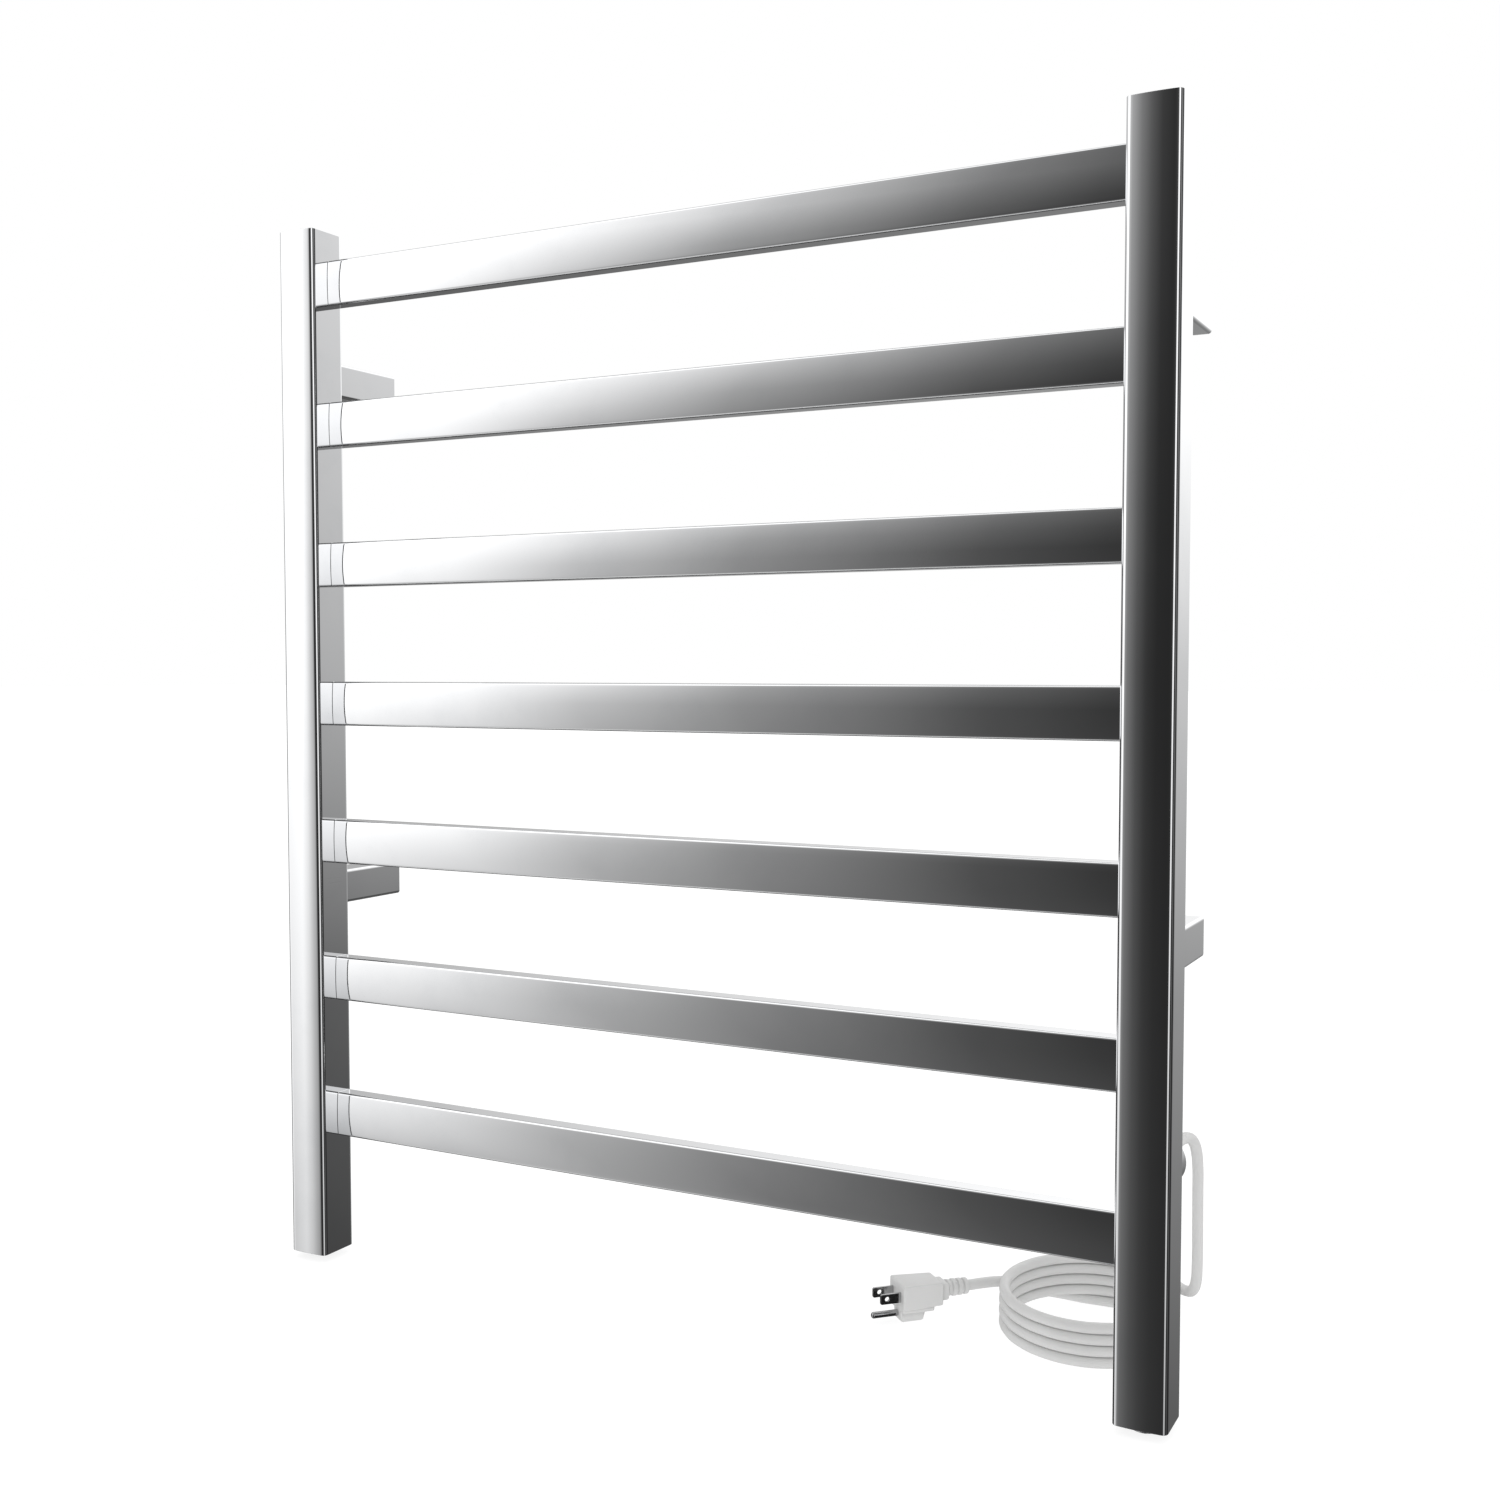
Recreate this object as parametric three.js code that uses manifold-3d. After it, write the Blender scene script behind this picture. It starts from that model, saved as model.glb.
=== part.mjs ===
// Wall-hung electric towel warmer rack: two square posts, seven flat heated bars, four wall brackets,
// a push switch under the right post, and a mains cord wound into a coil beside its plug.
// Millimetres, +X right, +Y towards the wall, +Z up. The origin lies on the wall plane, midway between
// the four brackets.

import * as THREE from 'three';
import { mergeVertices } from 'three/addons/utils/BufferGeometryUtils.js';
import Module from 'manifold-3d';

const wasm = await Module();
wasm.setup();

// ---- driving dimensions -------------------------------------------------------------------------

const GAP = 0.3;                  // clearance kept between touching pieces

const POST_HEIGHT = 700;
const POST_SIZE = 30;             // width and depth of a post
const POST_RADIUS = 3;            // rounding of its upright corners
const POST_WALL = 1.5;
const FRONT_CROWN = 0.85;         // bulge of a post's front face
const CLEAR_WIDTH = 550;          // between the two posts
const FRONT_TO_WALL = 88;

const BAR_COUNT = 7;
const BAR_HEIGHT = 30;
const BAR_DEPTH = 13;
const BAR_RADIUS = 1.5;
const BAR_WALL = 1.2;
const BAR_CROWN = 0.75;
const BAR_PITCH = 95;
const BAR_RECESS = 15;            // from the posts' front face back to the bars' front face
const TOP_MARGIN = 19;            // above the highest bar

const BRACKET_SPACING = 350;      // between the two rows of brackets
const BRACKET_RISE = 253;         // lower row above the posts' lower ends
const BRACKET_SIZE = 23;
const BRACKET_WALL = 1.5;
const BRACKET_END_WALL = 3;
const WALL_MOUNT_SIZE = 18.8;
const WALL_MOUNT_LENGTH = 26;
const WALL_SCREW_HOLE = 2.6;      // radius

const GLAND_RISE = 135.5;         // cord gland above the posts' lower ends
const GLAND_RADIUS = 14.2;
const GLAND_LENGTH = 16;          // outside the post: a straight part, then a dome
const GLAND_STRAIGHT = 10;
const GLAND_SHANK_RADIUS = 6;
const BOOT_LENGTH = 25;
const CORD_RADIUS = 3.3;

const COIL_CENTRE = [226.3, 37];
const COIL_RADIUS = 51.2;         // to the middle of the cord
const COIL_TURNS = 4.06;
const COIL_PITCH = 6.8;
const FLOOR_DROP = 5;             // surface under the coil, below the posts' lower ends

// ---- places worked out from them ----------------------------------------------------------------

const POST_BOTTOM = -BRACKET_RISE - BRACKET_SPACING / 2;
const POST_TOP = POST_BOTTOM + POST_HEIGHT;
const POST_X = (CLEAR_WIDTH + POST_SIZE) / 2;
const POST_FRONT = -FRONT_TO_WALL;
const POST_BACK = POST_FRONT + POST_SIZE;
const POST_Y = (POST_FRONT + POST_BACK) / 2;
const BAR_FRONT = POST_FRONT + BAR_RECESS;
const BAR_Y = BAR_FRONT + BAR_DEPTH / 2;
const FLOOR = POST_BOTTOM - FLOOR_DROP;
const GLAND_Z = POST_BOTTOM + GLAND_RISE;
const barZ = (row) => POST_TOP - TOP_MARGIN - BAR_HEIGHT / 2 - row * BAR_PITCH;

// Cord from the boot down to the coil, and from the coil to the plug.
const LEAD_ROUTE = [
  [290, -16.4, -292.6], [290, -8, -292.9], [290, 6, -294.2], [290, 19, -297], [290, 31, -302],
  [290, 40, -310], [289.8, 45.5, -322], [289.4, 48, -337], [289.2, 49.4, -354],
  [289.1, 50.4, -370], [288.6, 52.4, -384], [287.2, 56.4, -394.8], [283.4, 63.6, -403.6],
];
const TAIL_ROUTE = [
  [172, 64, -419], [166.6, 57.2, -416.4], [160.6, 50.8, -415.4], [154, 44.8, -415.5],
  [147.3, 38.9, -416],
];
const PLUG_BACK = [146.7, 38.3, -416];  // where the cord enters the plug's strain relief
const PLUG_HEADING = Math.atan2(-0.71, -0.7);

// ---- finishes ------------------------------------------------------------------------------------

const finishes = {
  chrome: { color: 0xd9dbde, roughness: 0.06, metalness: 1 },
  steel: { color: 0xa9adb1, roughness: 0.35, metalness: 1 },
  brass: { color: 0xb9975b, roughness: 0.35, metalness: 1 },
  cord: { color: 0xe4e4e2, roughness: 0.5, metalness: 0 },
  plastic: { color: 0x2b2c2e, roughness: 0.5, metalness: 0 },
  wire: { color: 0x3a3a3d, roughness: 0.6, metalness: 0 },
};

const rack = new THREE.Group();

function addPiece(name, geometry, finish) {
  const mesh = new THREE.Mesh(geometry, new THREE.MeshStandardMaterial(finishes[finish]));
  mesh.name = name;
  rack.add(mesh);
  return mesh;
}

// ---- solids --------------------------------------------------------------------------------------

function toManifold(geometry) {
  const bare = geometry.clone();
  bare.deleteAttribute('normal');
  bare.deleteAttribute('uv');
  const merged = mergeVertices(bare, 1e-4);
  return new wasm.Manifold(new wasm.Mesh({
    numProp: 3,
    vertProperties: new Float32Array(merged.attributes.position.array),
    triVerts: new Uint32Array(merged.index.array),
  }));
}

function toGeometry(manifold) {
  const mesh = manifold.getMesh();
  const geometry = new THREE.BufferGeometry();
  geometry.setAttribute('position', new THREE.BufferAttribute(mesh.vertProperties, 3));
  geometry.setIndex(new THREE.BufferAttribute(mesh.triVerts, 1));
  return geometry;
}

function cut(geometry, tools) {
  const solid = tools.reduce((left, tool) => left.subtract(toManifold(tool)), toManifold(geometry));
  return toGeometry(solid);
}

// Rectangle with rounded corners whose lower edge (-Y) bulges by `crown` inside the stated height.
function roundedOutline(width, height, radius, crown = 0) {
  const [x, y] = [width / 2, height / 2];
  const low = -y + crown;
  const shape = new THREE.Shape();
  shape.moveTo(x, low + radius);
  shape.lineTo(x, y - radius);
  shape.absarc(x - radius, y - radius, radius, 0, Math.PI / 2);
  shape.lineTo(-x + radius, y);
  shape.absarc(-x + radius, y - radius, radius, Math.PI / 2, Math.PI);
  shape.lineTo(-x, low + radius);
  shape.absarc(-x + radius, low + radius, radius, Math.PI, Math.PI * 1.5);
  if (crown > 0) shape.quadraticCurveTo(0, low - 2 * crown, x - radius, low);
  shape.absarc(x - radius, low + radius, radius, Math.PI * 1.5, Math.PI * 2);
  return shape;
}

function extrude(shape, length, curveSegments = 4) {
  return new THREE.ExtrudeGeometry(shape, { depth: length, bevelEnabled: false, curveSegments });
}

const MIN_INNER_RADIUS = 0.6;

// Hollow bar of rounded rectangular section, drawn in XY and extruded along +Z.
function tubeStock(width, height, radius, crown, wall, length) {
  const shape = roundedOutline(width, height, radius, crown);
  const innerRadius = Math.max(radius - wall, MIN_INNER_RADIUS);
  const inner = roundedOutline(width - 2 * wall, height - 2 * wall - crown, innerRadius);
  const points = inner.getPoints(3).map((p) => p.add(new THREE.Vector2(0, crown / 2)));
  shape.holes.push(new THREE.Path(points.reverse()));
  return extrude(shape, length);
}

// Cylinder from `from` to `to` along one axis, through (a, b) in the other two coordinates.
function rod(axis, a, b, from, to, radius, sides = 12) {
  const geometry = new THREE.CylinderGeometry(radius, radius, Math.abs(to - from), sides);
  const middle = (from + to) / 2;
  if (axis === 'x') return geometry.rotateZ(Math.PI / 2).translate(middle, a, b);
  if (axis === 'y') return geometry.translate(a, middle, b);
  return geometry.rotateX(Math.PI / 2).translate(a, b, middle);
}

// Turned piece: pairs of radius and distance along +Y from the origin.
function turned(profile, sides = 24) {
  return new THREE.LatheGeometry(profile.map(([r, y]) => new THREE.Vector2(r, y)), sides);
}

// Turned ring: the profile closes on itself and stays off the axis.
function turnedRing(inner, outer, from, to, sides = 24) {
  return turned([[inner, from], [outer, from], [outer, to], [inner, to], [inner, from]], sides);
}

function smoothTube(route, radius, sides, spacing) {
  const points = route.map((point) => new THREE.Vector3(...point));
  const curve = new THREE.CatmullRomCurve3(points, false, 'centripetal');
  const section = new THREE.Shape();
  section.absarc(0, 0, radius, 0, Math.PI * 2);
  const steps = Math.ceil(curve.getLength() / spacing);
  return new THREE.ExtrudeGeometry(section, {
    steps,
    curveSegments: sides,
    extrudePath: curve,
    bevelEnabled: false,
  });
}

// ---- posts and their end caps --------------------------------------------------------------------

const brackets = [
  { name: 'upper_left', x: -POST_X, z: BRACKET_SPACING / 2 },
  { name: 'upper_right', x: POST_X, z: BRACKET_SPACING / 2 },
  { name: 'lower_left', x: -POST_X, z: -BRACKET_SPACING / 2 },
  { name: 'lower_right', x: POST_X, z: -BRACKET_SPACING / 2 },
];

const BOLT_RADIUS = 2.5;
const HEATER_RADIUS = 4;
const BEZEL_BARREL = 10.2;

function addPost(side, direction) {
  const x = direction * POST_X;
  const tube = tubeStock(POST_SIZE, POST_SIZE, POST_RADIUS, FRONT_CROWN, POST_WALL, POST_HEIGHT);
  tube.translate(x, POST_Y, POST_BOTTOM);
  const innerFace = direction * CLEAR_WIDTH / 2;
  const holes = [];
  for (let row = 0; row < BAR_COUNT; row += 1) {
    const reach = direction * 3;
    holes.push(rod('x', BAR_Y, barZ(row), innerFace - reach, innerFace + reach, HEATER_RADIUS + GAP));
  }
  for (const bracket of brackets.filter((item) => item.x === x)) {
    holes.push(rod('y', x, bracket.z, POST_BACK - 4, POST_BACK + 4, BOLT_RADIUS + GAP));
  }
  if (side === 'right') {
    holes.push(rod('y', x, GLAND_Z, POST_BACK - 4, POST_BACK + 4, GLAND_SHANK_RADIUS + GAP, 20));
  }
  addPiece(`${side}_post`, cut(tube, holes), 'chrome');
}

function addEndCap(name, x, bottom, holeRadius) {
  const size = POST_SIZE - 2 * POST_WALL - 2 * GAP;
  const plate = extrude(roundedOutline(size, size - FRONT_CROWN, 1.2), 2);
  plate.translate(x, POST_Y + FRONT_CROWN / 2, bottom);
  const tools = holeRadius > 0 ? [rod('z', x, POST_Y, bottom - 1, bottom + 3, holeRadius, 24)] : [];
  addPiece(name, tools.length > 0 ? cut(plate, tools) : plate, 'chrome');
}

addPost('left', -1);
addPost('right', 1);
addEndCap('left_top_cap', -POST_X, POST_TOP - 2.2, 0);
addEndCap('right_top_cap', POST_X, POST_TOP - 2.2, 0);
addEndCap('left_bottom_cap', -POST_X, POST_BOTTOM + 0.2, 0);
addEndCap('right_bottom_cap', POST_X, POST_BOTTOM + 0.2, BEZEL_BARREL + GAP);

// ---- bars with the heating rods inside them ------------------------------------------------------

const BAR_LENGTH = CLEAR_WIDTH - 2 * GAP;
const HEATER_LENGTH = CLEAR_WIDTH + 2 * (POST_WALL + 4);

for (let row = 0; row < BAR_COUNT; row += 1) {
  const bar = tubeStock(BAR_HEIGHT, BAR_DEPTH, BAR_RADIUS, BAR_CROWN, BAR_WALL, BAR_LENGTH);
  bar.rotateY(-Math.PI / 2).translate(BAR_LENGTH / 2, BAR_Y, barZ(row));
  addPiece(`bar_${row + 1}`, bar, 'chrome');
  const heater = rod('x', BAR_Y, barZ(row), -HEATER_LENGTH / 2, HEATER_LENGTH / 2, HEATER_RADIUS, 10);
  addPiece(`heater_${row + 1}`, heater, 'steel');
}

// ---- wall brackets -------------------------------------------------------------------------------

const SET_SCREW_RADIUS = 2;
const SET_SCREW_Y = -WALL_MOUNT_LENGTH / 2;
const WALL_SCREW_RECESS = 8;      // depth of the wall beyond the recess for the wall screw's head
const BOLT_HEAD = 3.5;

function addBracket({ name, x, z }) {
  const end = POST_BACK + GAP;
  const half = BRACKET_SIZE / 2;
  const outer = extrude(roundedOutline(BRACKET_SIZE, BRACKET_SIZE, 2), -end, 3);
  outer.rotateX(Math.PI / 2).translate(x, 0, z);
  const room = BRACKET_SIZE - 2 * BRACKET_WALL;
  const hollow = new THREE.BoxGeometry(room, -end, room).translate(x, end / 2 + BRACKET_END_WALL, z);
  addPiece(`bracket_${name}`, cut(outer, [
    hollow,
    rod('y', x, z, end - 1, end + BRACKET_END_WALL + 1, BOLT_RADIUS + GAP),
    rod('z', x, SET_SCREW_Y, z - half - 1, z - half + BRACKET_WALL + 1, SET_SCREW_RADIUS + GAP),
  ]), 'chrome');

  const block = new THREE.BoxGeometry(WALL_MOUNT_SIZE, WALL_MOUNT_LENGTH, WALL_MOUNT_SIZE);
  block.translate(x, -WALL_MOUNT_LENGTH / 2, z);
  addPiece(`wall_mount_${name}`, cut(block, [
    rod('y', x, z, -WALL_MOUNT_LENGTH - 1, 1, WALL_SCREW_HOLE),
    rod('y', x, z, -WALL_MOUNT_LENGTH - 1, -WALL_SCREW_RECESS, 2 * WALL_SCREW_HOLE),
  ]), 'steel');

  const screwTop = z - WALL_MOUNT_SIZE / 2 - GAP;
  const screw = rod('z', x, SET_SCREW_Y, z - half + 0.1, screwTop, SET_SCREW_RADIUS, 10);
  addPiece(`set_screw_${name}`, screw, 'steel');

  const head = end + BRACKET_END_WALL + GAP;
  const tip = end - POST_WALL - 6;
  const bolt = turned([
    [0, tip], [BOLT_RADIUS, tip], [BOLT_RADIUS, head],
    [2 * BOLT_RADIUS, head], [2 * BOLT_RADIUS, head + BOLT_HEAD], [0, head + BOLT_HEAD],
  ], 12);
  addPiece(`bracket_bolt_${name}`, bolt.translate(x, 0, z), 'steel');
}

brackets.forEach(addBracket);

// ---- cord gland on the back of the right post ----------------------------------------------------

const GLAND_END = POST_BACK + GLAND_LENGTH;
const SHANK_END = POST_BACK - 8;
const NUT_RADIUS = 9;
const NUT_HEIGHT = 4;
const BOOT_RADIUS = 6.2;

function addGland() {
  const bore = CORD_RADIUS + 0.4;
  const dome = [];
  const shoulder = POST_BACK + GLAND_STRAIGHT;
  for (let step = 0; step <= 5; step += 1) {
    const angle = step * Math.PI / 12;
    const height = (GLAND_LENGTH - GLAND_STRAIGHT) * Math.sin(angle);
    dome.push([GLAND_RADIUS * Math.cos(angle), shoulder + height]);
  }
  const gland = turned([
    [bore, SHANK_END], [GLAND_SHANK_RADIUS, SHANK_END], [GLAND_SHANK_RADIUS, POST_BACK + GAP],
    [GLAND_RADIUS, POST_BACK + GAP], ...dome, [bore, GLAND_END], [bore, SHANK_END],
  ]);
  addPiece('cord_gland', gland.translate(POST_X, 0, GLAND_Z), 'chrome');

  const inside = POST_BACK - POST_WALL - GAP;
  const hexagon = rod('y', POST_X, GLAND_Z, inside - NUT_HEIGHT, inside, NUT_RADIUS, 6);
  const bolthole = GLAND_SHANK_RADIUS + GAP;
  const thread = rod('y', POST_X, GLAND_Z, inside - NUT_HEIGHT - 1, inside + 1, bolthole, 24);
  addPiece('gland_nut', cut(hexagon, [thread]), 'brass');

  const from = GLAND_END + GAP;
  const boot = turned([
    [bore, from], [BOOT_RADIUS, from], [BOOT_RADIUS - 0.4, from + BOOT_LENGTH / 2],
    [bore + 0.9, from + BOOT_LENGTH],
    [bore, from + BOOT_LENGTH], [bore, from],
  ], 20);
  addPiece('cord_boot', boot.translate(POST_X, 0, GLAND_Z), 'cord');
}

addGland();

// ---- push switch in the lower end of the right post ----------------------------------------------

const BUTTON_RADIUS = 8.5;
const BUTTON_TIP = POST_BOTTOM - 4.3;
const BEZEL_RADIUS = 12.6;
const BEZEL_LENGTH = 20;          // up inside the post
const BUTTON_LENGTH = 12;         // up inside the bezel

function addSwitch() {
  const upright = (geometry) => geometry.rotateX(Math.PI / 2).translate(POST_X, POST_Y, 0);
  const underCap = POST_BOTTOM - 0.1;
  const bore = BUTTON_RADIUS + GAP;
  const bezel = turned([
    [bore, underCap - 1.2], [BEZEL_RADIUS - 0.4, underCap - 1.2], [BEZEL_RADIUS, underCap - 0.8],
    [BEZEL_RADIUS, underCap], [BEZEL_BARREL, underCap], [BEZEL_BARREL, POST_BOTTOM + BEZEL_LENGTH],
    [bore, POST_BOTTOM + BEZEL_LENGTH], [bore, underCap - 1.2],
  ], 28);
  addPiece('switch_bezel', upright(bezel), 'chrome');
  const nut = turnedRing(BEZEL_BARREL + GAP, 12.3, POST_BOTTOM + 2.5, POST_BOTTOM + 5.5);
  addPiece('switch_nut', upright(nut), 'steel');
  const button = turned([
    [0, BUTTON_TIP], [BUTTON_RADIUS - 1.6, BUTTON_TIP + 0.2], [BUTTON_RADIUS - 0.4, BUTTON_TIP + 0.7],
    [BUTTON_RADIUS, BUTTON_TIP + 1.6], [BUTTON_RADIUS, POST_BOTTOM + BUTTON_LENGTH],
    [0, POST_BOTTOM + BUTTON_LENGTH],
  ], 28);
  addPiece('power_button', upright(button), 'chrome');
  const core = new THREE.BoxGeometry(16, 16, 18).translate(POST_X, POST_Y, POST_BOTTOM + 29.5);
  addPiece('switch_core', core, 'plastic');
}

addSwitch();

// ---- wiring inside the right post ----------------------------------------------------------------

const WIRE_RADIUS = 1.3;
const WIRE_Y = POST_FRONT + 8;

function addWiring() {
  const block = new THREE.BoxGeometry(18, 9, 26).translate(POST_X, POST_FRONT + 9, GLAND_Z);
  addPiece('terminal_block', block, 'plastic');
  const cutout = turned([
    [0, 0], [3.6, 0], [4.2, 0.6], [4.2, 15], [3.6, 16], [1, 17], [1, 21], [0, 21],
  ], 16);
  cutout.rotateX(Math.PI / 2).translate(POST_X + 5, WIRE_Y + 2, GLAND_Z - 38);
  addPiece('thermal_cutout', cutout, 'brass');
  const top = barZ(0) + 6;
  for (const [name, x] of [['live_riser', POST_X - 5], ['neutral_riser', POST_X + 1]]) {
    addPiece(name, rod('z', x, WIRE_Y, GLAND_Z + 14, top, WIRE_RADIUS, 8), 'wire');
  }
  const screw = turned([[0, 0], [2, 0], [2, 5], [4, 5], [4, 7], [0, 7]], 12);
  screw.rotateZ(Math.PI / 2).translate(POST_X + 12, POST_Y, GLAND_Z + 30);
  addPiece('ground_screw', screw, 'brass');
}

addWiring();

// ---- mains cord ----------------------------------------------------------------------------------

function addCord() {
  addPiece('cord_lead', smoothTube(LEAD_ROUTE, CORD_RADIUS, 5, 3 * CORD_RADIUS), 'cord');
  const height = 2 * CORD_RADIUS + COIL_PITCH * COIL_TURNS;
  const [inner, outer] = [COIL_RADIUS - CORD_RADIUS, COIL_RADIUS + CORD_RADIUS];
  const coil = turnedRing(inner, outer, FLOOR, FLOOR + height, 40);
  coil.rotateX(Math.PI / 2).translate(COIL_CENTRE[0], COIL_CENTRE[1], 0);
  addPiece('cord_coil', coil, 'cord');
  addPiece('cord_tail', smoothTube(TAIL_ROUTE, CORD_RADIUS, 5, 3 * CORD_RADIUS), 'cord');
}

addCord();

// ---- grounded plug lying at the end of the cord --------------------------------------------------

const RELIEF_LENGTH = 15;
const BODY_LENGTH = 33;
const BODY_WIDTH = 24;
const BLADE_OFFSET = 6.35;        // each flat blade from the plug's middle
const GROUND_DROP = 11.9;
const BLADE_LENGTH = 13.5;
const BLADE_WIDTH = 6.4;
const BLADE_THICKNESS = 1.5;
const PIN_RADIUS = 2;
const PIN_LENGTH = 16.8;

function addPlug() {
  // +X runs from the cord out through the blades, +Z up.
  const place = (geometry) => geometry.rotateZ(PLUG_HEADING).translate(...PLUG_BACK);
  const relief = turned([
    [0, 0], [4.4, 0], [4.6, 5], [5, 10], [5.6, RELIEF_LENGTH], [0, RELIEF_LENGTH],
  ], 16);
  addPiece('plug_strain_relief', place(relief.rotateZ(-Math.PI / 2)), 'cord');

  const side = new THREE.Shape();
  side.moveTo(0, -6);
  side.lineTo(6, -8);
  side.lineTo(13, -GROUND_DROP - 4.9);
  side.lineTo(BODY_LENGTH, -GROUND_DROP - 4.9);
  side.lineTo(BODY_LENGTH, 8);
  side.lineTo(10, 8.5);
  side.lineTo(0, 6);
  side.closePath();
  const body = extrude(side, BODY_WIDTH).rotateX(Math.PI / 2);
  body.translate(RELIEF_LENGTH + GAP, BODY_WIDTH / 2, 0);
  addPiece('plug_body', place(body), 'cord');

  const face = RELIEF_LENGTH + BODY_LENGTH + 2 * GAP;
  const half = BLADE_WIDTH / 2;
  for (const [name, y] of [['plug_blade_live', BLADE_OFFSET], ['plug_blade_neutral', -BLADE_OFFSET]]) {
    const outline = new THREE.Shape();
    outline.moveTo(0, -half);
    outline.lineTo(BLADE_LENGTH - 2, -half);
    outline.lineTo(BLADE_LENGTH, -half + 1.2);
    outline.lineTo(BLADE_LENGTH, half - 1.2);
    outline.lineTo(BLADE_LENGTH - 2, half);
    outline.lineTo(0, half);
    const hole = new THREE.Path();
    hole.absarc(BLADE_LENGTH - 4.5, 0, 1.6, 0, Math.PI * 2, true);
    outline.holes.push(hole);
    const blade = extrude(outline, BLADE_THICKNESS).rotateX(Math.PI / 2);
    addPiece(name, place(blade.translate(face, y + BLADE_THICKNESS / 2, 0)), 'steel');
  }
  const pin = turned([
    [0, 0], [PIN_RADIUS, 0], [PIN_RADIUS, PIN_LENGTH - 2.5], [PIN_RADIUS - 0.6, PIN_LENGTH - 0.8],
    [0, PIN_LENGTH],
  ], 14);
  pin.rotateZ(-Math.PI / 2).translate(face, 0, -GROUND_DROP);
  addPiece('plug_ground_pin', place(pin), 'steel');
}

addPlug();

export default rack;
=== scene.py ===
import math

import bmesh
import bpy
from mathutils import Matrix, Vector


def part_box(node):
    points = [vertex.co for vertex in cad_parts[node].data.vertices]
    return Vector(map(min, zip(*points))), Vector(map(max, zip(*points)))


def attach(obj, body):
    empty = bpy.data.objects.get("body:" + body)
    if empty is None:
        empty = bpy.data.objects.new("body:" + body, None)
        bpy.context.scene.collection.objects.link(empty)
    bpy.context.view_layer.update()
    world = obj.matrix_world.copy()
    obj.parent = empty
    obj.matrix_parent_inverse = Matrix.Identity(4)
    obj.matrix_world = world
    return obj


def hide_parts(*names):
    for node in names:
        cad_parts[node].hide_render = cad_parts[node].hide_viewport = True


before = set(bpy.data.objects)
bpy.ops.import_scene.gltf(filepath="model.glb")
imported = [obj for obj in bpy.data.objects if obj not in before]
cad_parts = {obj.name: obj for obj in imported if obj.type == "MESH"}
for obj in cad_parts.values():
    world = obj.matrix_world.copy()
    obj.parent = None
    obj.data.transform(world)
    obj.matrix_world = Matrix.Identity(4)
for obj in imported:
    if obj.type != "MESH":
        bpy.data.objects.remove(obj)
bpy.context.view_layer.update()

scene = bpy.context.scene
MM = 0.001

# ---- camera ---------------------------------------------------------------------------------------

CAMERA_PLACE = (0.5113, -0.9512, -0.0231)
CAMERA_YAW = math.radians(27.771)
CAMERA_TILT = math.radians(2.793)      # below the horizon
CAMERA_LENS = 39.99

camera = bpy.data.objects.new("studio_camera", bpy.data.cameras.new("studio_camera"))
scene.collection.objects.link(camera)
camera.location = CAMERA_PLACE
camera.rotation_euler = (math.pi / 2 - CAMERA_TILT, 0, CAMERA_YAW)
camera.data.lens = CAMERA_LENS
camera.data.sensor_width = 36
camera.data.clip_start = 0.01
scene.camera = camera


# ---- the frame's sizes ----------------------------------------------------------------------------

class Span:
    """A CAD node's box: low and high corners, middle and size, in metres."""

    def __init__(self, node):
        self.low, self.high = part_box(node)
        self.mid = (self.low + self.high) / 2
        self.size = self.high - self.low


floor_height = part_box("cord_coil")[0].z
gland = Span("cord_gland")
boot = Span("cord_boot")
coil = Span("cord_coil")
right_post = Span("right_post")


# ---- helpers for shaders --------------------------------------------------------------------------

def new_material(name):
    """An empty material with its Principled shader in place."""
    material = bpy.data.materials.new(name)
    material.use_nodes = True
    return material


def add_node(tree, kind, **values):
    """A node with its properties set; `inputs` is a dict of socket name to value."""
    node = tree.nodes.new(kind)
    inputs = values.pop("inputs", {})
    for name, value in values.items():
        setattr(node, name, value)
    for name, value in inputs.items():
        node.inputs[name].default_value = value
    return node


def maths(tree, operation, a, b=0.5, c=0.5):
    """A Math node fed by numbers or sockets; returns its output socket."""
    node = add_node(tree, "ShaderNodeMath", operation=operation)
    for socket, value in zip(node.inputs, (a, b, c)):
        if isinstance(value, (int, float)):
            socket.default_value = value
        else:
            tree.links.new(value, socket)
    return node.outputs[0]


def spread_between(tree, value, low, high, out_low, out_high):
    """Maps value from low..high to out_low..out_high, held at both ends."""
    node = add_node(tree, "ShaderNodeMapRange", clamp=True)
    tree.links.new(value, node.inputs["Value"])
    ends = {"From Min": low, "From Max": high, "To Min": out_low, "To Max": out_high}
    for name, end in ends.items():
        if isinstance(end, (int, float)):
            node.inputs[name].default_value = end
        else:
            tree.links.new(end, node.inputs[name])
    return node.outputs["Result"]


def noise(tree, vector, scale, detail=3.0, roughness=0.5):
    """Noise of one scale, given as a number or a socket; returns its value from 0 to 1."""
    node = add_node(
        tree, "ShaderNodeTexNoise",
        inputs={"Detail": detail, "Roughness": roughness},
    )
    tree.links.new(vector, node.inputs["Vector"])
    if isinstance(scale, (int, float)):
        node.inputs["Scale"].default_value = scale
    else:
        tree.links.new(scale, node.inputs["Scale"])
    return node.outputs["Fac"]


def group_tree(name, inputs, outputs):
    """An empty shader node group with number sockets; returns the tree and its two end nodes."""
    tree = bpy.data.node_groups.new(name, "ShaderNodeTree")
    for label, value in inputs.items():
        socket = tree.interface.new_socket(label, in_out="INPUT", socket_type="NodeSocketFloat")
        socket.default_value = value
    for label, kind in outputs.items():
        tree.interface.new_socket(label, in_out="OUTPUT", socket_type=kind)
    return tree, tree.nodes.new("NodeGroupInput"), tree.nodes.new("NodeGroupOutput")


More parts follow.
